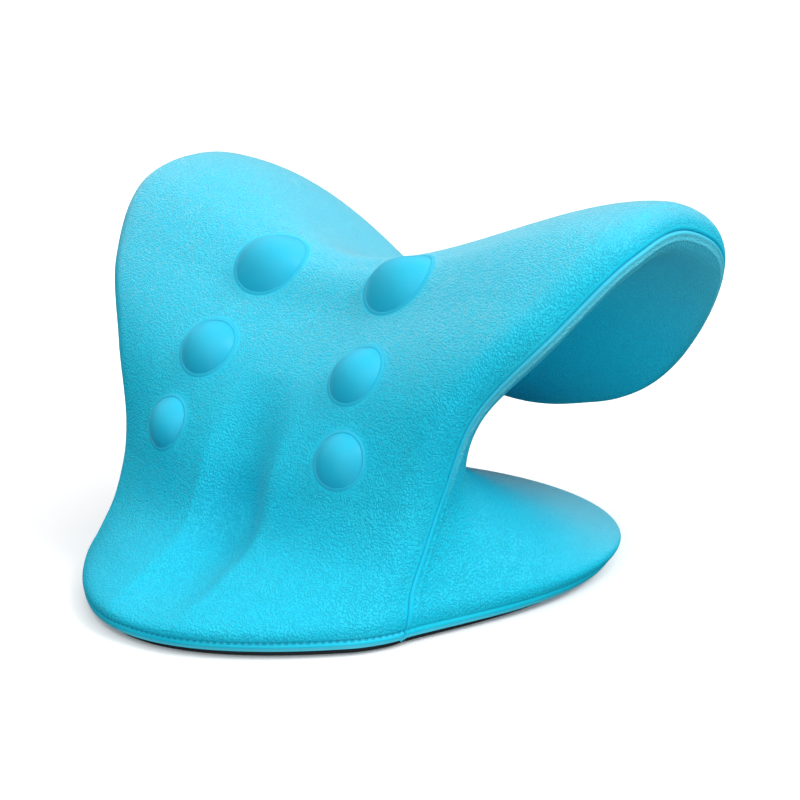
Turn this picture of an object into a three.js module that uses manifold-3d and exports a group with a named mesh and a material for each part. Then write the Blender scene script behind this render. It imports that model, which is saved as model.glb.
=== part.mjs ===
// Cervical traction device: a moulded foam neck stretcher that stands on a table.
// Millimetres, +Z up. The toe of the ramp points along -Y, the head end along +Y, and X runs across
// the wings. The origin lies on the table, under the middle of the sole.
//
// The foam body is lofted along a C-shaped spine: from the sole (t = 0) up the trunk, over the
// saddle and back down to the tip of the rear lip (t = 1). Each section is a closed ring with a
// front half (the ramp, then the top of the cradle) and a back half (the rear foot, then the
// underside of the cradle), which meet at the two side edges.
import * as THREE from 'three';
import { mergeVertices } from 'three/addons/utils/BufferGeometryUtils.js';
import Module from 'manifold-3d';

const wasm = await Module();
wasm.setup();

// Driving dimensions
const HALF_SPAN = 118;      // half the width across the two wings
const BASE_LENGTH = 200;    // toe to the back of the rear foot
const HEIGHT = 134;         // table to the side edge at the top of a wing
const SKIN = 2;             // thickness of the grained skin
const GAP = 0.3;            // clearance between pieces that touch
const CORE_GAP = 0.5;       // clearance between the foam core and the skins
const SOLE = 2.5;           // thickness of the dark sole
const SOLE_INSET = 3;       // the sole stands back from the edge of the foot
const RIM_RADIUS = 8.5;     // rounding of the side edges
const SEAM_WIDTH = 0.6;     // groove between the front and rear skins
const CHANNEL = { halfWidth: 18, softness: 1.8 };   // of SPINE.channel: width, rounding of its rims

const BASE_Z = SOLE + GAP;

// The spine: one value of every curve at each of these stations
const STATIONS = [0, 0.05, 0.11, 0.18, 0.28, 0.40, 0.52, 0.64, 0.76, 0.88, 1];
const acrossX = (list) => list.map((v) => v * HALF_SPAN);
const alongY = (list) => list.map((v) => v * BASE_LENGTH);
const upZ = (list) => list.map((v) => BASE_Z + v * (HEIGHT - BASE_Z));
const SPINE = {
  // the side edges: how far apart, and where
  halfWidth: acrossX([0.615, 0.625, 0.615, 0.615, 0.635, 0.72, 0.885, 0.995, 0.98, 1.02, 1.03]),
  edgeY: alongY([-0.225, -0.22, -0.205, -0.175, -0.13, -0.10, -0.02, 0.11, 0.295, 0.50, 0.645]),
  edgeZ: upZ([0, 0.05, 0.11, 0.19, 0.345, 0.555, 0.75, 0.92, 0.94, 0.75, 0.27]),
  // the middle of the section on the line of symmetry
  middleY: alongY([0.005, 0.01, 0.005, -0.01, -0.045, -0.04, 0, 0.045, 0.115, 0.345, 0.645]),
  middleZ: upZ([0, 0.05, 0.11, 0.19, 0.335, 0.49, 0.61, 0.69, 0.70, 0.53, 0.27]),
  // how much thicker it is there than at the edges, front and back alike
  belly: alongY([0.45, 0.458, 0.365, 0.245, 0.15, 0.065, 0.03, 0.04, 0.035, 0.02, 0.02]),
  // extra width of the rear foot
  hip: acrossX([0.32, 0.345, 0.30, 0.20, 0.055, 0, 0, 0, 0, 0, 0]),
  // direction from front to back, in degrees: 0 is level, -90 is straight down
  tilt: [0, 0, 0, 0, -8, -30, -60, -86, -104, -120, -132],
  // depth of the shallow channel down the middle of the front
  channel: [0, 2, 14, 13, 7, 0, 0, 0, 0, 0, 0],
};
const LIP_START = 0.72;     // from here on the cradle rounds off towards the tip of the lip
const HIP_GAIN = 2.6;       // makes the widest point of the hip term equal to SPINE.hip
const WING = { from: 0.25, to: 0.55, flatness: 2.2 };   // where the wings level out at their edges

// The massage domes, in left and right pairs: place on the front, radius and height
const DOMES = [
  { name: 'lower', t: 0.306, across: 0.55, radius: 9.5, height: 5 },
  { name: 'middle', t: 0.42, across: 0.41, radius: 11, height: 6 },
  { name: 'upper', t: 0.60, across: 0.27, radius: 13.5, height: 6.5 },
];
const DOME_PLUG = 8;        // how deep a dome's plug sits in the foam
const DOME_TRAVEL = 4;      // how far a dome sinks under the neck
const DOME_CLEARANCE = 0.4;
const ROUND_STEPS = 18;     // sides of a dome and of its pocket

const COLOURS = { blue: 0x3cc0e8, dome: 0x39b4e0, foam: 0x5cc3e4, sole: 0x1b2226 };

// ---- curves and the body's surface ----

// A smooth curve through one value per station
function curveAt(values, t) {
  const last = STATIONS.length - 1;
  let i = 0;
  while (i < last - 1 && t >= STATIONS[i + 1]) i += 1;
  const slope = (k) => (values[k + 1] - values[k]) / (STATIONS[k + 1] - STATIONS[k]);
  const tangent = (k) => {
    if (k === 0) return slope(0);
    if (k === last) return slope(last - 1);
    const before = STATIONS[k] - STATIONS[k - 1];
    const after = STATIONS[k + 1] - STATIONS[k];
    return (slope(k - 1) * after + slope(k) * before) / (before + after);
  };
  const span = STATIONS[i + 1] - STATIONS[i];
  const s = (t - STATIONS[i]) / span;
  const s2 = s * s;
  const s3 = s2 * s;
  return (2 * s3 - 3 * s2 + 1) * values[i] + (s3 - 2 * s2 + s) * span * tangent(i)
    + (3 * s2 - 2 * s3) * values[i + 1] + (s3 - s2) * span * tangent(i + 1);
}

// How much of a size is left near the tip of the lip: 1 before LIP_START, 0 at the tip
function lipTaper(t, power) {
  const s = Math.min(Math.max((t - LIP_START) / (1 - LIP_START), 0), 1);
  return Math.sqrt(Math.max(1 - s ** power, 0));
}

function stationAt(t) {
  const at = {};
  for (const [name, values] of Object.entries(SPINE)) at[name] = curveAt(values, t);
  at.halfWidth *= lipTaper(t, 2);
  at.tilt = THREE.MathUtils.degToRad(at.tilt);
  return at;
}

// How far a section has bent from its edge towards its middle. A plain curve at the foot, and one
// that levels out at the edges in the wings.
function bend(t, inward) {
  const share = Math.min(Math.max((t - WING.from) / (WING.to - WING.from), 0), 1);
  return inward ** (1 + (WING.flatness - 1) * share);
}

// The channel leaves the spine free: deepest in the middle, nothing beyond its rims
function channelDepth(deepest, x) {
  if (deepest <= 0 || Math.abs(x) >= CHANNEL.halfWidth) return 0;
  return deepest * (1 - (x / CHANNEL.halfWidth) ** 2) ** CHANNEL.softness;
}

// A point of the outer surface. angle 0 is the right edge, half a turn the left edge, and the
// half between them is the back.
function surfacePoint(t, angle) {
  const at = stationAt(t);
  const cos = Math.cos(angle);
  const sin = Math.sin(angle);
  const inward = sin * sin;
  const fromEdge = at.halfWidth * (1 - Math.abs(cos));
  const radius = Math.min(RIM_RADIUS, Math.max(at.halfWidth, 0.01));
  const rim = radius * Math.sqrt(1 - (1 - Math.min(fromEdge / radius, 1)) ** 2);
  const hip = sin > 0 ? HIP_GAIN * at.hip * inward * cos : 0;
  const x = at.halfWidth * cos + hip;
  let half = (rim + at.belly * inward) * lipTaper(t, 8);
  if (sin < 0) half -= channelDepth(at.channel, x);
  const side = Math.sign(sin);
  const bent = bend(t, inward);
  return new THREE.Vector3(
    x,
    at.edgeY + (at.middleY - at.edgeY) * bent + side * half * Math.cos(at.tilt),
    Math.max(at.edgeZ + (at.middleZ - at.edgeZ) * bent + side * half * Math.sin(at.tilt), BASE_Z),
  );
}

// The outward direction of the surface, by small steps along it
function surfaceNormal(t, angle) {
  const step = 0.004;
  const t0 = Math.max(t - step, 0);
  const t1 = Math.min(t + step, 0.999);
  const along = surfacePoint(t1, angle).sub(surfacePoint(t0, angle));
  const around = surfacePoint(t, angle + 0.02).sub(surfacePoint(t, angle - 0.02));
  return around.cross(along).normalize();
}

// ---- closed meshes ----

function closedGeometry(points, faces) {
  const geometry = new THREE.BufferGeometry();
  const flat = points.flatMap((p) => [p.x, p.y, p.z]);
  geometry.setAttribute('position', new THREE.Float32BufferAttribute(flat, 3));
  geometry.setIndex(faces.flat());
  return geometry;
}

// Rings of equal length, joined side by side. Each end is closed by strips that run from the front
// half of its ring to the back half, because the rings are thin and bent.
function loft(rings) {
  const count = rings[0].length;
  const faces = [];
  for (let i = 0; i + 1 < rings.length; i += 1) {
    for (let j = 0; j < count; j += 1) {
      const a = i * count + j;
      const b = i * count + (j + 1) % count;
      faces.push([a, b, b + count], [a, b + count, a + count]);
    }
  }
  const last = (rings.length - 1) * count;
  for (let j = 0; j < count / 2; j += 1) {
    const opposite = (count - j) % count;
    const beyond = count - j - 1;
    if (j > 0) faces.push([opposite, j + 1, j], [last + j, last + j + 1, last + opposite]);
    if (j + 1 < beyond) {
      faces.push([opposite, beyond, j + 1], [last + j + 1, last + beyond, last + opposite]);
    }
  }
  return closedGeometry(rings.flat(), faces);
}

// Two grids of points, one above the other, joined round their borders
function slab(lower, upper) {
  const rows = lower.length;
  const cols = lower[0].length;
  const points = [...lower.flat(), ...upper.flat()];
  const top = rows * cols;
  const faces = [];
  const quad = (a, b, c, d) => faces.push([a, b, c], [a, c, d]);
  const at = (i, j) => i * cols + j;
  for (let i = 0; i + 1 < rows; i += 1) {
    for (let j = 0; j + 1 < cols; j += 1) {
      quad(at(i, j), at(i, j + 1), at(i + 1, j + 1), at(i + 1, j));
      quad(top + at(i, j), top + at(i + 1, j), top + at(i + 1, j + 1), top + at(i, j + 1));
    }
  }
  const wall = (a, b) => quad(b, a, top + a, top + b);
  for (let j = 0; j + 1 < cols; j += 1) {
    wall(at(0, j), at(0, j + 1));
    wall(at(rows - 1, j + 1), at(rows - 1, j));
  }
  for (let i = 0; i + 1 < rows; i += 1) {
    wall(at(i + 1, 0), at(i, 0));
    wall(at(i, cols - 1), at(i + 1, cols - 1));
  }
  return closedGeometry(points, faces);
}

function toSolid(geometry) {
  const bare = geometry.clone();
  bare.deleteAttribute('normal');
  bare.deleteAttribute('uv');
  const merged = mergeVertices(bare, 1e-4);
  const mesh = new wasm.Mesh({
    numProp: 3,
    vertProperties: new Float32Array(merged.attributes.position.array),
    triVerts: new Uint32Array(merged.index.array),
  });
  return new wasm.Manifold(mesh);
}

const SLIVER = 0.02;        // booleans leave triangles this thin along the cuts

function toGeometry(solid) {
  const mesh = solid.asOriginal().simplify(SLIVER).getMesh();
  const geometry = new THREE.BufferGeometry();
  geometry.setAttribute('position', new THREE.BufferAttribute(mesh.vertProperties, 3));
  geometry.setIndex(new THREE.BufferAttribute(mesh.triVerts, 1));
  return geometry;
}

// ---- the foam body ----

const RING_POINTS = 36;

// Closer together at the rounded edge of the foot and towards the tip of the lip
const BODY_RINGS = 17;
const LIP_RINGS = 8;
const LIP_END = 0.97;       // the last ring is this share of a quarter turn, just short of the tip
const ringStations = [
  ...Array.from({ length: BODY_RINGS }, (_, i) => LIP_START * (i / BODY_RINGS) ** 1.4),
  ...Array.from({ length: LIP_RINGS + 1 }, (_, i) => (
    LIP_START + (1 - LIP_START) * Math.sin(LIP_END * i / LIP_RINGS * Math.PI / 2)
  )),
];

// Angles that crowd towards the two side edges, where the surface turns fastest
const ringAngles = Array.from({ length: RING_POINTS }, (_, j) => {
  const u = 2 * Math.PI * j / RING_POINTS;
  return u - 0.15 * Math.sin(2 * u);
});

// One ring of the body's outer surface, moved inwards. The lowest ring stays level.
function bodyRing(t, inset) {
  return ringAngles.map((angle) => {
    const normal = surfaceNormal(t, angle);
    if (t === 0) normal.setZ(0).normalize();
    return surfacePoint(t, angle).addScaledVector(normal, -inset);
  });
}

// The body's outer surface moved inwards, as a solid with a straight skirt below its lowest ring.
// It ends where the lip gets too narrow for the inset.
function bodySolid(inset, skirt = 0) {
  const wideEnough = ringStations.filter((t) => stationAt(t).halfWidth > 12 * inset);
  const rings = wideEnough.map((t) => bodyRing(t, inset));
  if (skirt > 0) rings.unshift(rings[0].map((p) => new THREE.Vector3(p.x, p.y, p.z - skirt)));
  return toSolid(loft(rings));
}

// A thin sheet through the two side edges. It parts the front skin from the rear skin.
function seamSheet() {
  const overhang = 6;
  const shares = [-1, -0.97, -0.85, -0.6, -0.3, 0, 0.3, 0.6, 0.85, 0.97, 1];
  const sheetRow = (t, shift) => {
    const at = stationAt(t);
    const row = shares.map((share) => {
      const bent = bend(t, 1 - share * share);
      return new THREE.Vector3(
        share * at.halfWidth,
        at.edgeY + (at.middleY - at.edgeY) * bent,
        at.edgeZ + (at.middleZ - at.edgeZ) * bent,
      );
    });
    row.unshift(row[0].clone().setX(row[0].x - overhang));
    row.push(row[row.length - 1].clone().setX(row[row.length - 1].x + overhang));
    return row.map((p) => p.add(shift));
  };
  const rows = ringStations.map((t, i) => sheetRow(t, new THREE.Vector3(0, 0, i === 0 ? -overhang : 0)));
  const tipTilt = stationAt(1).tilt;
  const pastTip = new THREE.Vector3(0, -Math.sin(tipTilt), Math.cos(tipTilt)).multiplyScalar(overhang);
  rows.push(sheetRow(0.9995, pastTip));
  const tilts = [...ringStations.map((t) => stationAt(t).tilt), tipTilt];
  const moved = (side) => rows.map((row, i) => row.map((p) => p.clone().add(
    new THREE.Vector3(0, Math.cos(tilts[i]), Math.sin(tilts[i])).multiplyScalar(side * SEAM_WIDTH / 2),
  )));
  return toSolid(slab(moved(-1), moved(1)));
}

// ---- the massage domes ----

// Where a dome sits: a point of the surface, and the direction in which it stands out
function domeSeat(dome, side) {
  const angle = 1.5 * Math.PI + side * Math.asin(dome.across);
  const middle = surfacePoint(dome.t, angle);
  return { middle, outward: surfaceNormal(dome.t, angle) };
}

function turned(geometry, seat) {
  const turn = new THREE.Quaternion().setFromUnitVectors(new THREE.Vector3(0, 1, 0), seat.outward);
  return geometry.applyQuaternion(turn).translate(seat.middle.x, seat.middle.y, seat.middle.z);
}

// A round hole along the dome's own direction, from below the surface to above it
function roundHole(seat, radius, depth) {
  const clearAbove = 12;
  const length = depth + clearAbove;
  const cylinder = new THREE.CylinderGeometry(radius, radius, length, ROUND_STEPS);
  return toSolid(turned(cylinder.translate(0, clearAbove - length / 2, 0), seat));
}

// A plug with a spherical cap
function domeGeometry(dome) {
  const { radius, height } = dome;
  const ballRadius = (radius * radius + height * height) / (2 * height);
  const halfArc = Math.asin(radius / ballRadius);
  const arcSteps = 4;
  const profile = [new THREE.Vector2(0, -DOME_PLUG), new THREE.Vector2(radius, -DOME_PLUG)];
  for (let i = 0; i < arcSteps; i += 1) {
    const arc = halfArc * (1 - i / arcSteps);
    profile.push(new THREE.Vector2(
      ballRadius * Math.sin(arc), height - ballRadius + ballRadius * Math.cos(arc),
    ));
  }
  profile.push(new THREE.Vector2(0, height));
  return new THREE.LatheGeometry(profile, ROUND_STEPS);
}

// ---- the assembly ----

const device = new THREE.Group();
device.name = 'cervical_traction_device';

function addPiece(name, geometry, colour, roughness) {
  const material = new THREE.MeshStandardMaterial({ color: colour, roughness, metalness: 0 });
  const piece = new THREE.Mesh(geometry, material);
  piece.name = name;
  device.add(piece);
  return piece;
}

const seats = [];
for (const dome of DOMES) {
  for (const [sideName, side] of [['left', -1], ['right', 1]]) {
    seats.push({ dome, name: `massage_dome_${dome.name}_${sideName}`, ...domeSeat(dome, side) });
  }
}

let core = bodySolid(SKIN + CORE_GAP);
let shell = bodySolid(0).subtract(bodySolid(SKIN, SOLE)).subtract(seamSheet());
for (const seat of seats) {
  const pocketDepth = DOME_PLUG + DOME_TRAVEL + DOME_CLEARANCE;
  const pocket = roundHole(seat, seat.dome.radius + DOME_CLEARANCE, pocketDepth);
  core = core.subtract(pocket);
  shell = shell.subtract(pocket);
}
const skins = shell.decompose().sort((a, b) => a.boundingBox().min[1] - b.boundingBox().min[1]);

addPiece('foam_core', toGeometry(core), COLOURS.foam, 0.9);
addPiece('front_skin', toGeometry(skins[0]), COLOURS.blue, 0.55);
addPiece('rear_skin', toGeometry(skins[1]), COLOURS.blue, 0.6);

const soleOutline = new THREE.Shape(bodyRing(0, SOLE_INSET).map((p) => new THREE.Vector2(p.x, p.y)));
const sole = new THREE.ExtrudeGeometry(soleOutline, { depth: SOLE, bevelEnabled: false });
addPiece('base_pad', sole, COLOURS.sole, 0.85);

for (const seat of seats) {
  const piece = addPiece(seat.name, domeGeometry(seat.dome), COLOURS.dome, 0.45);
  piece.quaternion.setFromUnitVectors(new THREE.Vector3(0, 1, 0), seat.outward);
  piece.position.copy(seat.middle);
}

export default device;
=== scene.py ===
"""Looks of the cervical traction device: grained foam skins, smooth domes and a dark sole.

Lengths are in millimetres up to the point where a mesh is made, and in metres from there on.
The body's surface is the same one that the CAD part is lofted from, sampled more finely.
"""

import math

import bmesh
import bpy
import numpy as np
from mathutils import Matrix, Vector, kdtree
from mathutils.bvhtree import BVHTree


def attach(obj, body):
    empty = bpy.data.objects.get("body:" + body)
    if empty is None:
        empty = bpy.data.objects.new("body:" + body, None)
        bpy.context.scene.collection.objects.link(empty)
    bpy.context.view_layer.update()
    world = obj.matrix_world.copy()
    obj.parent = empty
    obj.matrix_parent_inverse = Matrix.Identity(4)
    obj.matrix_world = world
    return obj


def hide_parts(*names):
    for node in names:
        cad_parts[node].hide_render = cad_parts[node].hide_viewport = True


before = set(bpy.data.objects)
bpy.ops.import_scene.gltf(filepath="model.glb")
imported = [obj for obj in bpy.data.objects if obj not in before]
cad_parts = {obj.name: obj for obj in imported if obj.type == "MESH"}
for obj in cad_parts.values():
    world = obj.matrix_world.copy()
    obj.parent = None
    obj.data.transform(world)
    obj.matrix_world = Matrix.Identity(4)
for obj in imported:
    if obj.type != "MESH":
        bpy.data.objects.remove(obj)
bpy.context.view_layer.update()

MM = 0.001

# ---- the body's surface, as in the CAD part ----

HALF_SPAN = 118.0
BASE_LENGTH = 200.0
HEIGHT = 134.0
BASE_Z = 2.8
RIM_RADIUS = 8.5
LIP_START = 0.72
HIP_GAIN = 2.6
WING_FROM, WING_TO, WING_FLATNESS = 0.25, 0.55, 2.2
CHANNEL_HALF_WIDTH, CHANNEL_SOFTNESS = 18.0, 1.8

STATIONS = np.array([0, 0.05, 0.11, 0.18, 0.28, 0.40, 0.52, 0.64, 0.76, 0.88, 1])


def across_x(*shares):
    return np.array(shares) * HALF_SPAN


def along_y(*shares):
    return np.array(shares) * BASE_LENGTH


def up_z(*shares):
    return BASE_Z + np.array(shares) * (HEIGHT - BASE_Z)


SPINE = {
    "half_width": across_x(
        0.615, 0.625, 0.615, 0.615, 0.635, 0.72, 0.885, 0.995, 0.98, 1.02, 1.03
    ),
    "edge_y": along_y(
        -0.225, -0.22, -0.205, -0.175, -0.13, -0.10, -0.02, 0.11, 0.295, 0.50, 0.645
    ),
    "edge_z": up_z(0, 0.05, 0.11, 0.19, 0.345, 0.555, 0.75, 0.92, 0.94, 0.75, 0.27),
    "middle_y": along_y(
        0.005, 0.01, 0.005, -0.01, -0.045, -0.04, 0, 0.045, 0.115, 0.345, 0.645
    ),
    "middle_z": up_z(0, 0.05, 0.11, 0.19, 0.335, 0.49, 0.61, 0.69, 0.70, 0.53, 0.27),
    "belly": along_y(
        0.45, 0.458, 0.365, 0.245, 0.15, 0.065, 0.03, 0.04, 0.035, 0.02, 0.02
    ),
    "hip": across_x(0.32, 0.345, 0.30, 0.20, 0.055, 0, 0, 0, 0, 0, 0),
    "tilt": np.array([0, 0, 0, 0, -8, -30, -60, -86, -104, -120, -132.0]),
    "channel": np.array([0, 2, 14, 13, 7, 0, 0, 0, 0, 0, 0.0]),
}


def curve_at(values, t):
    """A smooth curve through one value per station."""
    step = np.diff(STATIONS)
    slope = np.diff(values) / step
    inner = (slope[:-1] * step[1:] + slope[1:] * step[:-1]) / (step[1:] + step[:-1])
    tangent = np.concatenate([slope[:1], inner, slope[-1:]])
    i = np.clip(np.searchsorted(STATIONS, t, side="right") - 1, 0, len(step) - 1)
    s = (t - STATIONS[i]) / step[i]
    s2, s3 = s * s, s * s * s
    return (
        (2 * s3 - 3 * s2 + 1) * values[i]
        + (s3 - 2 * s2 + s) * step[i] * tangent[i]
        + (3 * s2 - 2 * s3) * values[i + 1]
        + (s3 - s2) * step[i] * tangent[i + 1]
    )


def lip_taper(t, power):
    s = np.clip((t - LIP_START) / (1 - LIP_START), 0, 1)
    return np.sqrt(np.maximum(1 - s**power, 0))


def surface(t, angle):
    """Points of the outer surface. Angle 0 is the right edge, pi the left edge; the back lies
    between them, and the front half goes on from pi to the full turn."""
    t, angle = np.broadcast_arrays(np.asarray(t, float), np.asarray(angle, float))
    at = {name: curve_at(values, t) for name, values in SPINE.items()}
    half_width = at["half_width"] * lip_taper(t, 2)
    tilt = np.radians(at["tilt"])
    cos, sin = np.cos(angle), np.sin(angle)
    inward = sin * sin
    from_edge = half_width * (1 - np.abs(cos))
    radius = np.minimum(RIM_RADIUS, np.maximum(half_width, 0.01))
    rim = radius * np.sqrt(1 - (1 - np.minimum(from_edge / radius, 1)) ** 2)
    hip = np.where(sin > 0, HIP_GAIN * at["hip"] * inward * cos, 0)
    x = half_width * cos + hip
    half = (rim + at["belly"] * inward) * lip_taper(t, 8)
    scoop = np.maximum(1 - (x / CHANNEL_HALF_WIDTH) ** 2, 0) ** CHANNEL_SOFTNESS
    half = half - np.where(sin < 0, np.maximum(at["channel"], 0) * scoop, 0)
    share = np.clip((t - WING_FROM) / (WING_TO - WING_FROM), 0, 1)
    bent = inward ** (1 + (WING_FLATNESS - 1) * share)
    side = np.sign(sin)
    y = at["edge_y"] + (at["middle_y"] - at["edge_y"]) * bent + side * half * np.cos(tilt)
    z = at["edge_z"] + (at["middle_z"] - at["edge_z"]) * bent + side * half * np.sin(tilt)
    return np.stack([x, y, np.maximum(z, BASE_Z)], axis=-1)


def surface_normal(t, angle, step=0.004, turn=0.02):
    t0, t1 = np.maximum(t - step, 0), np.minimum(t + step, 0.999)
    along = surface(t1, angle) - surface(t0, angle)
    around = surface(t, angle + turn) - surface(t, angle - turn)
    normal = np.cross(around, along)
    return normal / np.linalg.norm(normal, axis=-1, keepdims=True)


# ---- sampling: rows along the spine, columns by length round each half section ----

CELL = 1.5  # general size of a mesh cell
SEAM_CELL = 0.14  # at the seam and at the tip of the lip
FOOT_CELL = 0.3  # at the line above the sole


def row_stations():
    """Stations along the spine, close together at the foot and at the tip of the lip."""
    turn_over = 0.6
    w = np.linspace(0, 1, 4001)
    quarter = np.clip((w - turn_over) / (1 - turn_over), 0, 1) * np.pi / 2
    on_body = LIP_START * w / turn_over
    on_lip = LIP_START + (1 - LIP_START) * np.sin(quarter)
    t = np.where(w < turn_over, on_body, on_lip)
    columns = np.pi * np.array([0.001, 0.25, 0.5, 0.75, 1.25, 1.5, 1.75])
    points = surface(t[:, None], columns[None, :])
    step = np.linalg.norm(np.diff(points, axis=0), axis=2).max(axis=1)
    length = np.concatenate([[0], np.cumsum(step)])
    middle = (length[1:] + length[:-1]) / 2
    foot = FOOT_CELL + 0.12 * np.maximum(middle - 7, 0)
    tip = SEAM_CELL + 0.12 * (length[-1] - middle)
    cells = np.concatenate([[0], np.cumsum(step / np.minimum(np.minimum(foot, tip), CELL))])
    return np.interp(np.linspace(0, cells[-1], int(cells[-1]) + 1), cells, t)


EDGE_STEPS = np.array([0, 0.12, 0.26, 0.42, 0.62, 0.88, 1.2, 1.6, 2.1, 2.5, 2.9, 3.3, 3.7, 4.1, 4.8])
COLUMNS = 150


def column_angles(t, first):
    """Angles of one row on the half section that starts at the angle first, spaced by length."""
    u = np.linspace(0, 1, 1201)
    angles = first + np.pi * (u - 0.9 * np.sin(2 * np.pi * u) / (2 * np.pi))
    points = surface(t, angles)
    length = np.concatenate([[0], np.cumsum(np.linalg.norm(np.diff(points, axis=0), axis=1))])
    near = EDGE_STEPS * min(1, length[-1] / 40)
    inner = np.linspace(near[-1], length[-1] - near[-1], COLUMNS + 1)
    wanted = np.concatenate([near[:-1], inner, length[-1] - near[-2::-1]])
    return np.interp(wanted, length, angles)


ROWS = row_stations()


def half_grid(first):
    """(stations, angles, points, normals) of one half of the body, a row for each station."""
    angles = np.array([column_angles(t, first) for t in ROWS])
    stations = np.repeat(ROWS[:, None], angles.shape[1], axis=1)
    # the last row is the tip itself, where the ring has shrunk to a point
    points = surface(stations, angles)
    inside = np.clip(stations, 0, 0.9994)
    normals = surface_normal(inside, angles, step=0.0006, turn=0.004)
    tip_tilt = math.radians(SPINE["tilt"][-1])
    normals[-1] = (0, -math.sin(tip_tilt), math.cos(tip_tilt))
    normals[0, :, 2] = 0
    normals[0] /= np.linalg.norm(normals[0], axis=-1, keepdims=True)
    return stations, angles, points, normals


FRONT = half_grid(np.pi)
REAR = half_grid(0.0)


def smooth_step(x, low, high):
    s = np.clip((x - low) / (high - low), 0, 1)
    return s * s * (3 - 2 * s)


# ---- the seam between the two skins ----

SEAM_DEPTH = 1.1
SEAM_LIP = {"front": 1.3, "rear": 0.7}  # how wide each skin's edge is rounded
REAR_LIP_RISE = 0.2  # the rear skin's edge stands slightly proud and catches the light
FLASH_PLACE, FLASH_RISE = 3.3, 0.3  # the trimmed flash line, where the edge band ends underneath


def seam_tree():
    turn = np.linspace(0, np.pi / 2, 2500)
    t = np.concatenate([np.linspace(0, LIP_START, 2500), LIP_START + (1 - LIP_START) * np.sin(turn)])
    points = np.concatenate([surface(t, 0.0), surface(t, np.pi)])
    tree = kdtree.KDTree(len(points))
    for i, p in enumerate(points):
        tree.insert(p, i)
    tree.balance()
    return tree


SEAM = seam_tree()


def seam_distance(points):
    flat = points.reshape(-1, 3)
    found = np.array([SEAM.find(p)[2] for p in flat])
    found = found.reshape(points.shape[:-1])
    found[:, [0, -1]] = 0
    return found


def rounded_edge(distance, width, depth):
    """How far a quarter-round edge of that width sinks below the surface."""
    left = np.clip(1 - distance / width, 0, 1)
    return depth * (1 - np.sqrt(1 - left * left))


# ---- the line above the sole, and the domes' seats ----

FOOT_LINE_Z = 5.6
FOOT_LINE_HALF_WIDTH = 0.55
FOOT_LINE_DEPTH = {"front": 0.55, "rear": 0.3}

DOMES = [
    ("lower", 0.306, 0.55, 9.5, 5.0),
    ("middle", 0.42, 0.41, 11.0, 6.0),
    ("upper", 0.60, 0.27, 13.5, 6.5),
]
DOME_PLUG = 8.0
DOME_TRAVEL = 4.0
COLLAR_WIDTH = 1.4
COLLAR_HEIGHT = 0.36
COLLAR_LAP = 0.2  # how far a collar closes in over the foot of its dome


def dome_seats():
    seats = []
    for name, t, across, radius, height in DOMES:
        for side_name, side in (("left", -1), ("right", 1)):
            angle = 1.5 * np.pi + side * math.asin(across)
            middle = surface(t, angle)
            outward = surface_normal(t, angle)
            first = np.cross([0, 1, 0], outward)
            first /= np.linalg.norm(first)
            seats.append(
                {
                    "name": f"{name}_{side_name}",
                    "middle": middle,
                    "outward": outward,
                    "first": first,
                    "second": np.cross(outward, first),
                    "radius": radius,
                    "height": height,
                }
            )
    return seats


SEATS = dome_seats()


def grid_faces(rows, columns, offset=0):
    index = np.arange(rows * columns).reshape(rows, columns) + offset
    quads = np.stack([index[:-1, :-1], index[:-1, 1:], index[1:, 1:], index[1:, :-1]], axis=-1)
    return quads.reshape(-1, 4)


FRONT_TREE = BVHTree.FromPolygons(
    [Vector(p) for p in FRONT[2][:-1].reshape(-1, 3)],
    [tuple(int(v) for v in q) for q in grid_faces(len(ROWS) - 1, FRONT[2].shape[1])],
)


def drop(seat, radius, angle):
    """The point of the front surface under a point of the seat's plane."""
    start = (
        seat["middle"]
        + radius * (math.cos(angle) * seat["first"] + math.sin(angle) * seat["second"])
        + 20 * seat["outward"]
    )
    hit = FRONT_TREE.ray_cast(Vector(start), Vector(-seat["outward"]), 60)[0]
    if hit is None:
        raise RuntimeError(f"no surface under dome {seat['name']}")
    return np.array(hit)


def seat_radii(points):
    """For each point, its distance from each dome's axis, less that dome's radius."""
    out = []
    for seat in SEATS:
        away = points - seat["middle"]
        height = away @ seat["outward"]
        flat = np.linalg.norm(away - height[..., None] * seat["outward"], axis=-1)
        out.append(np.where(np.abs(height) < 20, flat - seat["radius"], 999))
    return np.array(out)


# ---- mesh helpers ----


def make_object(name, points_mm, faces):
    mesh = bpy.data.meshes.new(name)
    mesh.from_pydata((np.asarray(points_mm) * MM).tolist(), [], [tuple(map(int, f)) for f in faces])
    mesh.validate()
    mesh.update()
    obj = bpy.data.objects.new(name, mesh)
    bpy.context.scene.collection.objects.link(obj)
    return obj


def set_values(obj, name, values):
    attribute = obj.data.attributes.new(name, "FLOAT", "POINT")
    attribute.data.foreach_set("value", np.asarray(values, np.float32).ravel())


def finish_mesh(obj, sharp_degrees=48):
    mesh = bmesh.new()
    mesh.from_mesh(obj.data)
    bmesh.ops.remove_doubles(mesh, verts=mesh.verts, dist=1e-7)
    loose = [v for v in mesh.verts if not v.link_faces]
    bmesh.ops.delete(mesh, geom=loose, context="VERTS")
    bmesh.ops.recalc_face_normals(mesh, faces=mesh.faces)
    mesh.to_mesh(obj.data)
    mesh.free()
    obj.data.polygons.foreach_set("use_smooth", [True] * len(obj.data.polygons))
    obj.data.set_sharp_from_angle(angle=math.radians(sharp_degrees))
    obj.data.update()


def side_faces(index):
    """Faces between the rows of a stack of closed rings."""
    after = np.roll(index, -1, axis=1)
    return np.stack([index[:-1], after[:-1], after[1:], index[1:]], axis=-1).reshape(-1, 4).tolist()


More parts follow.
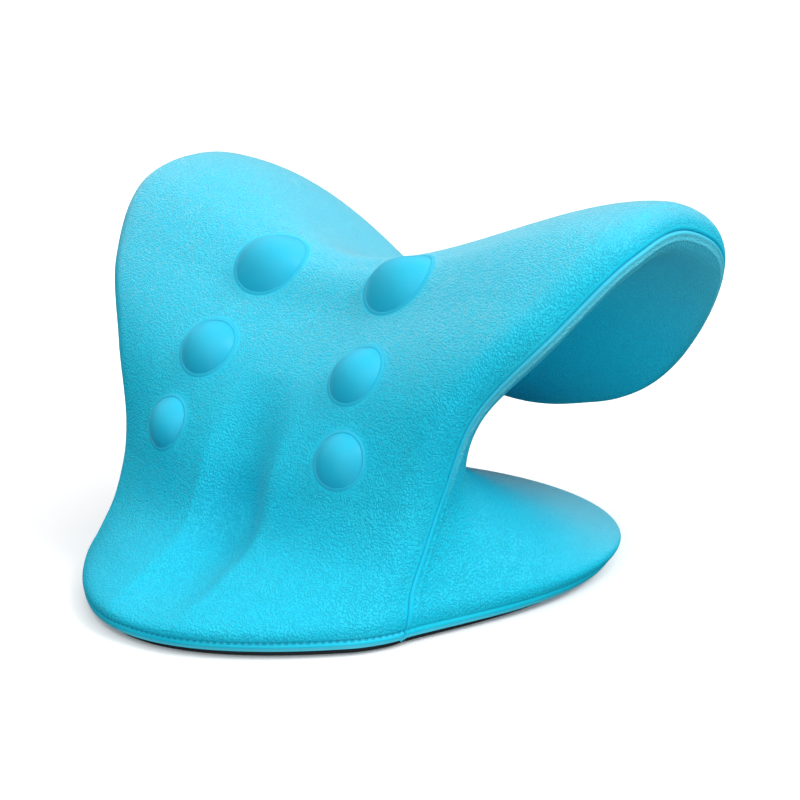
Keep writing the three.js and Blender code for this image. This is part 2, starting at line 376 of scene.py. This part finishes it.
def end_strips(index):
    """Faces that close the first and the last ring, in strips from one half to the other."""
    faces = []
    count = index.shape[1]
    for row in (index[0], index[-1]):
        for j in range(count // 2):
            steps = (j, j + 1, count - j - 1, count - j)
            corners = [row[step % count] for step in steps]
            face = [v for k, v in enumerate(corners) if v not in corners[:k]]
            if len(face) > 2:
                faces.append(face)
    return faces


def apply_modifiers(obj):
    depsgraph = bpy.context.evaluated_depsgraph_get()
    mesh = bpy.data.meshes.new_from_object(obj.evaluated_get(depsgraph))
    obj.modifiers.clear()
    old = obj.data
    obj.data = mesh
    bpy.data.meshes.remove(old)


# ---- the two skins ----


def skin_grid(grid, which):
    """The outer surface of one skin, with its seam edge and the line above the sole."""
    _, _, points, normals = grid
    distance = seam_distance(points)
    sink = rounded_edge(distance, SEAM_LIP[which], SEAM_DEPTH)
    if which == "rear":
        sink = sink - REAR_LIP_RISE * np.exp(-(((distance - 1.0) / 0.55) ** 2))
        sink = sink - FLASH_RISE * np.exp(-(((distance - FLASH_PLACE) / 0.45) ** 2))
    line = np.exp(-(((points[..., 2] - FOOT_LINE_Z) / FOOT_LINE_HALF_WIDTH) ** 2))
    lower_lip = np.exp(-(((points[..., 2] - FOOT_LINE_Z + 1.4) / 0.8) ** 2))
    sink = sink + FOOT_LINE_DEPTH[which] * (line - 0.45 * lower_lip)
    sink[0] = 0
    return points - normals * sink[..., None], distance


def grain_share(points, distance):
    """1 where the skin is grained, and 0 round the domes and along the seam."""
    share = smooth_step(distance, 0.8, 2.2)
    share = share * smooth_step(seat_radii(points).min(axis=0), 0.9, 2.4)
    return share * smooth_step(points[..., 2], FOOT_LINE_Z, FOOT_LINE_Z + 1.6)


def top_share(points, normals):
    """Where the nap catches the light, painted in as a highlight of paler colour and more sheen: the
    parts that face the ceiling, the low toe less.
    """
    level = smooth_step(normals[..., 2], 0.2, 0.8)
    high = smooth_step(points[..., 2], 50, 110)
    far = smooth_step(points[..., 1], 5, 75)
    return level * np.maximum(high, far)


HOLLOW_PAINTED_LIGHT = 0.5  # how much paler the rear skin is painted at the outer end of a wing: painted light in the hollow under it


def pale_share(points, distance, which):
    """How pale the skin is: painted highlight along its thin edges, and painted light in the hollow
    under the outer ends of the wings.
    """
    # painted highlight: paler along the lowest lip above the sole
    share = 0.6 * smooth_step(-points[..., 2], 1.3 - FOOT_LINE_Z, 1.9 - FOOT_LINE_Z)
    if which == "rear":
        # painted highlight along the flash ridge and on the band between it and the seam
        flash = np.exp(-(((distance - FLASH_PLACE) / 0.5) ** 2))
        strip = 0.85 * smooth_step(distance, 0.5, 1.3) * smooth_step(-distance, -FLASH_PLACE, -2.6)
        share = np.maximum(share, np.maximum(flash, strip) * smooth_step(points[..., 2], 40, 70))
        # painted light: the rear skin paler towards the open outer end of each wing's hollow
        outer = smooth_step(np.abs(points[..., 0]), 55, 112) * smooth_step(points[..., 2], 45, 80)
        share = np.maximum(share, HOLLOW_PAINTED_LIGHT * outer)
    return share


def ring_length(points):
    """How far along its own row each point lies."""
    step = np.linalg.norm(np.diff(points, axis=1), axis=2)
    return np.concatenate([np.zeros((len(points), 1)), np.cumsum(step, axis=1)], axis=1)


SEAT_GAP = 0.4  # clearance of the skin's hole round a dome
SEAT_REACH = 3.0  # edge points this close to the hole belong to it


def snap_to_seats(points, faces):
    """Opens a round hole for each dome: drops the faces inside, and moves the ragged edge onto
    a circle."""
    centres = points[faces].mean(axis=1)
    faces = faces[seat_radii(centres).min(axis=0) > SEAT_GAP]
    corners = ([0, 1], [1, 2], [2, 3], [3, 0])
    pairs = np.sort(np.concatenate([faces[:, pair] for pair in corners]), axis=1)
    edges, count = np.unique(pairs, axis=0, return_counts=True)
    border = np.unique(edges[count == 1])
    near = seat_radii(points[border])
    for column, vertex in enumerate(border):
        k = int(near[:, column].argmin())
        if near[k, column] < SEAT_REACH:
            seat = SEATS[k]
            away = points[vertex] - seat["middle"]
            angle = math.atan2(away @ seat["second"], away @ seat["first"])
            points[vertex] = drop(seat, seat["radius"] + SEAT_GAP, angle)
    return faces


def make_skin(name, grid, which, thickness):
    outer, distance = skin_grid(grid, which)
    rows, columns = outer.shape[:2]
    points = outer.reshape(-1, 3)
    faces = grid_faces(rows, columns)
    values = {
        "grain": grain_share(grid[2], distance),
        "round": np.repeat(ring_length(grid[2])[12][None, :], rows, axis=0),
        "seam": np.clip(1 - distance / 1.2, 0, 1),
        "pale": pale_share(grid[2], distance, which),
        "top": top_share(grid[2], grid[3]),
    }
    if which == "front":
        faces = snap_to_seats(points, faces)
    obj = make_object(name, points, faces)
    for key, value in values.items():
        set_values(obj, key, value)
    finish_mesh(obj)
    shell = obj.modifiers.new("shell", "SOLIDIFY")
    shell.thickness = thickness * MM
    shell.offset = -1
    apply_modifiers(obj)
    obj.data.polygons.foreach_set("use_smooth", [True] * len(obj.data.polygons))
    obj.data.set_sharp_from_angle(angle=math.radians(60))
    return obj


# ---- node graphs ----


class Graph:
    """A material's node graph, with one short call for each kind of node."""

    def __init__(self, name):
        self.material = bpy.data.materials.new(name)
        self.material.use_nodes = True
        self.tree = self.material.node_tree
        self.tree.nodes.clear()
        self.shader = self.tree.nodes.new("ShaderNodeBsdfPrincipled")
        output = self.tree.nodes.new("ShaderNodeOutputMaterial")
        self.tree.links.new(self.shader.outputs[0], output.inputs["Surface"])
        self.place = self.tree.nodes.new("ShaderNodeTexCoord").outputs["Object"]

    def set(self, **values):
        for key, value in values.items():
            self.shader.inputs[key.replace("_", " ")].default_value = value

    def feed(self, socket, value):
        if isinstance(value, bpy.types.NodeSocket):
            self.tree.links.new(value, socket)
        else:
            socket.default_value = value

    def math(self, operation, a, b=0.0):
        node = self.tree.nodes.new("ShaderNodeMath")
        node.operation = operation
        self.feed(node.inputs[0], a)
        self.feed(node.inputs[1], b)
        return node.outputs[0]

    def range(self, value, low, high, to_low=0.0, to_high=1.0):
        node = self.tree.nodes.new("ShaderNodeMapRange")
        node.interpolation_type = "SMOOTHSTEP"
        self.feed(node.inputs["Value"], value)
        node.inputs["From Min"].default_value = low
        node.inputs["From Max"].default_value = high
        node.inputs["To Min"].default_value = to_low
        node.inputs["To Max"].default_value = to_high
        return node.outputs["Result"]

    def noise(self, place, scale, detail=2.0, output="Fac"):
        node = self.tree.nodes.new("ShaderNodeTexNoise")
        self.feed(node.inputs["Vector"], place)
        node.inputs["Scale"].default_value = scale
        node.inputs["Detail"].default_value = detail
        return node.outputs[output]

    def cells(self, place, scale, feature="DISTANCE_TO_EDGE", randomness=1.0):
        node = self.tree.nodes.new("ShaderNodeTexVoronoi")
        node.feature = feature
        self.feed(node.inputs["Vector"], place)
        node.inputs["Scale"].default_value = scale
        node.inputs["Randomness"].default_value = randomness
        return node.outputs["Distance"]

    def stretch(self, place, sizes):
        node = self.tree.nodes.new("ShaderNodeMapping")
        self.feed(node.inputs["Vector"], place)
        node.inputs["Scale"].default_value = sizes
        return node.outputs[0]

    def shift(self, place, colour, amount):
        """place, moved by up to amount by a noise colour."""
        centred = self.tree.nodes.new("ShaderNodeVectorMath")
        centred.operation = "MULTIPLY_ADD"
        self.feed(centred.inputs[0], colour)
        centred.inputs[1].default_value = (amount,) * 3
        self.feed(centred.inputs[2], place)
        return centred.outputs[0]

    def attribute(self, name):
        node = self.tree.nodes.new("ShaderNodeAttribute")
        node.attribute_name = name
        return node.outputs["Fac"]

    def mix(self, share, a, b):
        node = self.tree.nodes.new("ShaderNodeMix")
        node.data_type = "RGBA"
        self.feed(node.inputs["Factor"], share)
        self.feed(node.inputs["A"], a)
        self.feed(node.inputs["B"], b)
        return node.outputs["Result"]

    def bump(self, height, distance):
        node = self.tree.nodes.new("ShaderNodeBump")
        node.inputs["Strength"].default_value = 1.0
        node.inputs["Distance"].default_value = distance
        self.feed(node.inputs["Height"], height)
        return node.outputs["Normal"]

    def paint(self, colour=None, roughness=None, normal=None):
        for name, value in (("Base Color", colour), ("Roughness", roughness), ("Normal", normal)):
            if value is not None:
                self.feed(self.shader.inputs[name], value)


BLUE = (0.006, 0.55, 0.76, 1)
# colour of painted shade, in the grain's pits and along the seam
BLUE_PAINTED_SHADE = (0.002, 0.39, 0.63, 1)
BLUE_WORN = (0.012, 0.59, 0.78, 1)
BLUE_PALE = (0.12, 0.66, 0.84, 1)
DOME_BLUE = (0.016, 0.47, 0.68, 1)
DOME_WORN = (0.02, 0.45, 0.65, 1)

GRAIN_SCALE = 1080.0  # cells to the metre
GRAIN_HEIGHT = 0.00024
STITCH_LENGTH = 2.4  # from one mark of the line above the sole to the next


def skin_material(name, stitched, nap):
    graph = Graph(name)
    wander = graph.noise(graph.place, 130, detail=1, output="Color")
    place = graph.shift(graph.place, wander, 0.0022)
    edge = graph.cells(graph.stretch(place, (1.0, 0.9, 0.72)), GRAIN_SCALE)
    broken = graph.range(graph.noise(graph.place, 1350, detail=0), 0.36, 0.54, 0.35, 1.0)
    dent = graph.math("MULTIPLY", graph.range(edge, 0.0, 0.3, 1.0, 0.0), broken)
    fine = graph.noise(place, 2400, detail=2)
    broad = graph.noise(graph.place, 55, detail=3)
    grain = graph.attribute("grain")
    strength = graph.math("MULTIPLY", grain, graph.range(broad, 0.3, 0.7, 0.8, 1.0))
    height = graph.math("SUBTRACT", graph.math("MULTIPLY", fine, 0.14), dent)
    height = graph.math("MULTIPLY", height, strength)
    valley = graph.math("MULTIPLY", graph.range(edge, 0.0, 0.18, 1.0, 0.0), broken)
    valley = graph.math("MULTIPLY", valley, strength)
    colour = graph.mix(graph.range(broad, 0.35, 0.75), BLUE, BLUE_WORN)
    # painted shade: darker blue in the grain's pits
    colour = graph.mix(graph.math("MULTIPLY", valley, 0.75), colour, BLUE_PAINTED_SHADE)
    # the pale share: painted highlight on thin edges, painted light in the wings' hollow
    colour = graph.mix(graph.attribute("pale"), colour, BLUE_PALE)
    # painted highlight: the parts that face the ceiling mixed towards the pale blue
    colour = graph.mix(graph.math("MULTIPLY", graph.attribute("top"), 0.3), colour, BLUE_PALE)
    seam = graph.attribute("seam")
    # painted shade: darker blue along the seam groove
    colour = graph.mix(graph.math("MULTIPLY", seam, 0.35), colour, BLUE_PAINTED_SHADE)
    if stitched:
        split = graph.tree.nodes.new("ShaderNodeSeparateXYZ")
        graph.feed(split.inputs[0], graph.place)
        off_line = graph.math("ABSOLUTE", graph.math("SUBTRACT", split.outputs["Z"], FOOT_LINE_Z * MM))
        on_line = graph.range(off_line, 0.0003, 0.0007, 1.0, 0.0)
        turns = graph.math("MULTIPLY", graph.attribute("round"), 2 * math.pi / STITCH_LENGTH)
        beat = graph.math("SINE", turns)
        dash = graph.math("MULTIPLY", on_line, graph.range(beat, -0.2, 0.4))
        colour = graph.mix(graph.math("MULTIPLY", dash, 0.5), colour, (0.002, 0.20, 0.42, 1))
        height = graph.math("SUBTRACT", height, graph.math("MULTIPLY", dash, 0.8))
    rough = graph.range(broad, 0.3, 0.7, 0.40, 0.47)
    rough = graph.math("ADD", rough, graph.math("MULTIPLY", valley, 0.15))
    graph.paint(colour, rough, graph.bump(height, GRAIN_HEIGHT))
    # painted sheen: more sheen where the skin faces the ceiling
    top_sheen = graph.range(graph.attribute("top"), 0.0, 1.0, nap, 0.9)
    graph.feed(graph.shader.inputs["Sheen Weight"], top_sheen)
    graph.set(Specular_IOR_Level=0.2, Sheen_Roughness=0.27)
    graph.set(Sheen_Tint=(0.75, 0.95, 1, 1))
    return graph.material


def smooth_material(name):
    """The domes and their collars: the same foam skin without grain, a touch glossier."""
    graph = Graph(name)
    broad = graph.noise(graph.place, 90, detail=3)
    fine = graph.noise(graph.place, 1600, detail=3)
    colour = graph.mix(graph.range(broad, 0.35, 0.7), DOME_BLUE, DOME_WORN)
    rough = graph.range(broad, 0.3, 0.7, 0.40, 0.5)
    graph.paint(colour, rough, graph.bump(fine, 0.00003))
    graph.set(Specular_IOR_Level=0.2, Sheen_Weight=0.15, Sheen_Roughness=0.27)
    graph.set(Sheen_Tint=(0.75, 0.95, 1, 1))
    return graph.material


def foam_material(name):
    graph = Graph(name)
    cells = graph.cells(graph.place, 1500)
    broad = graph.noise(graph.place, 60, detail=3)
    colour = graph.mix(graph.range(broad, 0.35, 0.7), (0.05, 0.52, 0.74, 1), (0.10, 0.60, 0.80, 1))
    colour = graph.mix(graph.range(cells, 0.0, 0.12, 0.6, 0.0), colour, (0.02, 0.34, 0.56, 1))
    graph.paint(colour, graph.range(broad, 0.3, 0.7, 0.8, 0.95), graph.bump(cells, 0.0002))
    graph.set(Specular_IOR_Level=0.25)
    return graph.material


def sole_material(name):
    graph = Graph(name)
    ribs = graph.cells(graph.place, 420, feature="F1", randomness=0.0)
    broad = graph.noise(graph.place, 40, detail=4)
    fine = graph.noise(graph.place, 1800, detail=2)
    colour = graph.mix(broad, (0.006, 0.009, 0.011, 1), (0.018, 0.023, 0.027, 1))
    height = graph.math("ADD", graph.range(ribs, 0.25, 0.45), graph.math("MULTIPLY", fine, 0.3))
    graph.paint(colour, graph.range(broad, 0.3, 0.7, 0.62, 0.8), graph.bump(height, 0.0002))
    graph.set(Specular_IOR_Level=0.35)
    return graph.material


FRONT_SKIN = skin_material("grained_skin_front", stitched=True, nap=0.07)
REAR_SKIN = skin_material("grained_skin_rear", stitched=False, nap=0.02)
SMOOTH = smooth_material("smooth_skin")
FOAM = foam_material("foam")
SOLE = sole_material("sole")


def dress(obj, material, body="foam_body"):
    obj.data.materials.clear()
    obj.data.materials.append(material)
    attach(obj, body)
    return obj


SKIN_THICKNESS = 1.6

front_skin = make_skin("grained_front_skin", FRONT, "front", SKIN_THICKNESS)
dress(front_skin, FRONT_SKIN)
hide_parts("front_skin")

rear_skin = make_skin("grained_rear_skin", REAR, "rear", SKIN_THICKNESS)
dress(rear_skin, REAR_SKIN)
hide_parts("rear_skin")


# ---- the foam inside ----

CORE_INSET = 2.6
POCKET_CLEARANCE = 5.0
POCKET_DEPTH = DOME_PLUG + DOME_TRAVEL + 1.0


def make_core():
    every = 3
    halves = []
    for _, _, points, normals in (FRONT, REAR):
        inset = points - CORE_INSET * normals
        rows = np.unique(np.r_[0 : len(ROWS) - 12 : every, len(ROWS) - 12])
        halves.append(inset[rows][:, ::2])
    halves[0][0, :, 2] = BASE_Z
    halves[1][0, :, 2] = BASE_Z
    ring = np.concatenate([halves[1][:, :-1], halves[0][:, :-1]], axis=1)
    for seat, gap in zip(SEATS, seat_radii(ring)):
        height = (ring - seat["middle"]) @ seat["outward"]
        pressed = (gap < POCKET_CLEARANCE) & (height > -POCKET_DEPTH)
        ring[pressed] -= (height[pressed] + POCKET_DEPTH)[:, None] * seat["outward"]
    rows, columns = ring.shape[:2]
    index = np.arange(rows * columns).reshape(rows, columns)
    faces = side_faces(index)
    faces += end_strips(index)
    obj = make_object("moulded_foam_body", ring.reshape(-1, 3), faces)
    finish_mesh(obj, 40)
    return obj


core = dress(make_core(), FOAM)
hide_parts("foam_core")


# ---- domes and the collars round them ----

ROUND_STEPS = 72


def revolve(seat, profile):
    """A profile turned about a dome's axis: its points, their numbers, and the next ones round.
    The profile is a list of (radius, height, follows). The height is above the skin at that
    place where follows is True, and above the seat's own plane where it isn't."""
    turns = np.linspace(0, 2 * np.pi, ROUND_STEPS, endpoint=False)
    points = []
    for radius, height, follows in profile:
        for turn in turns:
            if follows:
                foot = drop(seat, radius, turn)
            else:
                flat = math.cos(turn) * seat["first"] + math.sin(turn) * seat["second"]
                foot = seat["middle"] + radius * flat
            points.append(foot + height * seat["outward"])
    index = np.arange(len(points)).reshape(len(profile), ROUND_STEPS)
    after = np.roll(index, -1, axis=1)
    return points, index, after


def dome_cap(seat):
    radius, height = seat["radius"], seat["height"]
    ball = (radius**2 + height**2) / (2 * height)
    profile = [(0.01, height, True)]
    for r in radius * np.sin(np.linspace(0, np.pi / 2, 18))[1:]:
        top = height - ball + math.sqrt(ball**2 - min(r, radius) ** 2)
        profile.append((r, top, True))
    profile += [(radius, -0.6, True), (radius - 0.1, -DOME_PLUG + 1, False)]
    profile += [(radius - 1.0, -DOME_PLUG, False), (0.01, -DOME_PLUG, False)]
    points, index, _ = revolve(seat, profile)
    faces = side_faces(index)
    faces += [index[0].tolist(), index[-1].tolist()]
    obj = make_object(f"smooth_dome_{seat['name']}", points, faces)
    finish_mesh(obj, 40)
    return obj


def collar(seat):
    """The moulded rim that a dome rises from."""
    radius, height = seat["radius"], seat["height"]
    inner = radius - COLLAR_LAP
    # how high the dome's own surface stands where the collar laps over it
    lap_height = COLLAR_LAP * 2 * height * radius / (radius**2 - height**2)
    profile = [
        (inner + 0.35, -3.4, False),
        (inner + 0.35, -0.2, True),
        (inner, lap_height + 0.02, True),
        (inner + 0.15, lap_height + 0.1, True),
        (inner + 0.4, COLLAR_HEIGHT, True),
    ]
    for share in np.linspace(0.1, 1, 8):
        fall = COLLAR_HEIGHT * (1 - share) ** 2 * (1 + 2 * share)
        profile.append((inner + 0.4 + share * (COLLAR_WIDTH - 0.4), max(fall, 0.015), True))
    profile += [(inner + COLLAR_WIDTH, -1.0, True), (inner + 1.1, -1.2, True)]
    profile += [(inner + 0.6, -3.4, False)]
    points, index, after = revolve(seat, profile)
    below = np.roll(index, -1, axis=0)
    below_after = np.roll(after, -1, axis=0)
    faces = np.stack([index, after, below_after, below], axis=-1).reshape(-1, 4)
    obj = make_object(f"dome_collar_{seat['name']}", points, faces)
    finish_mesh(obj, 50)
    return obj


for seat in SEATS:
    node = f"massage_dome_{seat['name']}"
    cap = dress(dome_cap(seat), SMOOTH, f"{node}_body")
    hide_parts(node)
    dress(collar(seat), SMOOTH)


# ---- the sole ----


def make_sole():
    """A thin sheet with rounded edges and a raised border underneath."""
    front, rear = FRONT[2][0], REAR[2][0]
    outline = np.concatenate([rear[:-1], front[:-1]])
    outward = np.concatenate([REAR[3][0][:-1], FRONT[3][0][:-1]])
    # (how far in from the edge, height above the table), from the top round to the border
    profile = [(0.6, 2.75), (0.2, 2.7), (0, 2.3), (0, 0.5)]
    profile += [(0.2, 0.12), (0.7, 0), (3.7, 0), (4.3, 0.35)]
    set_back = 3.4 + 2 * smooth_step(outline[:, 1], -40, 40)
    rings = []
    for inset, z in profile:
        ring = outline - (set_back + inset)[:, None] * outward
        ring[:, 2] = z
        rings.append(ring)
    points = np.concatenate(rings)
    count = len(outline)
    index = np.arange(len(points)).reshape(len(profile), count)
    faces = side_faces(index)
    faces += end_strips(index)
    obj = make_object("dark_base_sheet", points, faces)
    finish_mesh(obj, 40)
    return obj


# a dark sheet under the base, set back from the edge so that a thin dark band shows along the bottom
sole = dress(make_sole(), SOLE)
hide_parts("base_pad")


# ---- floor, light and camera ----

FLOOR_REACH = 5e3
FLOOR_GLOW = 0.12  # lifts the pale floor to white
ROOM_LIGHT = 0.06
CEILING_LIGHT = 1.15
LOW_TINT = (0.12, 0.72, 1, 1)  # colour of the room's light from below the horizon
BACKDROP_RADIUS = 8.0  # in metres
BACKDROP_GLOW = 0.97


def floor():
    turns = ((-1, -1), (1, -1), (1, 1), (-1, 1))
    corners = [(x * FLOOR_REACH, y * FLOOR_REACH, 0) for x, y in turns]
    obj = make_object("floor", corners, [(0, 1, 2, 3)])
    graph = Graph("pale_floor")
    speckle = graph.noise(graph.place, 6, detail=2)
    graph.paint(graph.mix(speckle, (0.91, 0.91, 0.91, 1), (0.93, 0.93, 0.93, 1)))
    graph.set(Roughness=0.7, Specular_IOR_Level=0.2)
    graph.set(Emission_Color=(1, 1, 1, 1), Emission_Strength=FLOOR_GLOW)
    obj.data.materials.append(graph.material)
    obj.visible_diffuse = False
    obj.visible_glossy = False
    obj.visible_shadow = False


floor()


def sun(name, direction, power, spread):
    """A distant lamp that shines from that direction. spread is its width in degrees."""
    lamp = bpy.data.lights.new(name, "SUN")
    lamp.energy = power
    lamp.angle = math.radians(spread)
    obj = bpy.data.objects.new(name, lamp)
    obj.rotation_euler = Vector(direction).to_track_quat("Z", "Y").to_euler()
    bpy.context.scene.collection.objects.link(obj)


sun("key", (0.66, 0.26, 0.70), 1.65, 30)
sun("front_fill", (0.6, -0.7, 0.4), 0.3, 70)
sun("glint", (0.42, -0.55, 0.72), 0.35, 14)
sun("side_bounce", (0.95, 0.0, -0.1), 0.25, 40)
sun("floor_bounce", (0.5, -0.35, -0.75), 0.7, 45)
sun("front_bounce", (0.4, -0.9, -0.1), 0.5, 40)
sun("rear_fill", (0.25, 0.9, 0.4), 0.4, 60)


def studio():
    """A dim room with a large soft ceiling."""
    world = bpy.data.worlds.new("studio")
    world.use_nodes = True
    tree = world.node_tree
    place = tree.nodes.new("ShaderNodeTexCoord")
    split = tree.nodes.new("ShaderNodeSeparateXYZ")
    rise = tree.nodes.new("ShaderNodeMapRange")
    rise.interpolation_type = "SMOOTHSTEP"
    rise.inputs["From Min"].default_value = 0.05
    rise.inputs["From Max"].default_value = 0.7
    rise.inputs["To Min"].default_value = ROOM_LIGHT
    rise.inputs["To Max"].default_value = CEILING_LIGHT
    tree.links.new(place.outputs["Generated"], split.inputs[0])
    tree.links.new(split.outputs["Z"], rise.inputs["Value"])
    tree.links.new(rise.outputs["Result"], tree.nodes["Background"].inputs["Strength"])
    tint = tree.nodes.new("ShaderNodeMix")
    tint.data_type = "RGBA"
    tint.inputs["A"].default_value = LOW_TINT
    tint.inputs["B"].default_value = (1, 1, 1, 1)
    whiten = tree.nodes.new("ShaderNodeMapRange")
    whiten.inputs["From Min"].default_value = -0.1
    whiten.inputs["From Max"].default_value = 0.15
    tree.links.new(split.outputs["Z"], whiten.inputs["Value"])
    tree.links.new(whiten.outputs["Result"], tint.inputs["Factor"])
    tree.links.new(tint.outputs["Result"], tree.nodes["Background"].inputs["Color"])
    bpy.context.scene.world = world


studio()
bpy.context.scene.view_settings.view_transform = "Standard"


def backdrop():
    """A pale surround that only the camera sees."""
    mesh = bmesh.new()
    bmesh.ops.create_uvsphere(mesh, u_segments=48, v_segments=24, radius=BACKDROP_RADIUS)
    data = bpy.data.meshes.new("backdrop")
    mesh.to_mesh(data)
    mesh.free()
    obj = bpy.data.objects.new("backdrop", data)
    bpy.context.scene.collection.objects.link(obj)
    graph = Graph("pale_backdrop")
    graph.set(Base_Color=(0, 0, 0, 1), Specular_IOR_Level=0.0, Emission_Color=(1, 1, 1, 1))
    graph.set(Emission_Strength=BACKDROP_GLOW)
    data.materials.append(graph.material)
    obj.visible_diffuse = False
    obj.visible_glossy = False
    obj.visible_shadow = False
    obj.visible_transmission = False


backdrop()

AZIMUTH, ELEVATION, ROLL = 42.4, 14.7, -2.0
EYE = Vector((574.4, -592.7, 278.8)) * MM


def make_camera():
    az, el, roll = (math.radians(v) for v in (AZIMUTH, ELEVATION, ROLL))
    forward = Vector((-math.sin(az) * math.cos(el), math.cos(az) * math.cos(el), -math.sin(el)))
    right = Vector((math.cos(az), math.sin(az), 0))
    up = right.cross(forward)
    x_axis = math.cos(roll) * right + math.sin(roll) * up
    y_axis = math.cos(roll) * up - math.sin(roll) * right
    data = bpy.data.cameras.new("camera")
    data.sensor_width = 36
    data.lens = 108
    camera = bpy.data.objects.new("camera", data)
    turn = Matrix((x_axis, y_axis, -forward)).transposed().to_4x4()
    camera.matrix_world = Matrix.Translation(EYE) @ turn
    bpy.context.scene.collection.objects.link(camera)
    bpy.context.scene.camera = camera


make_camera()
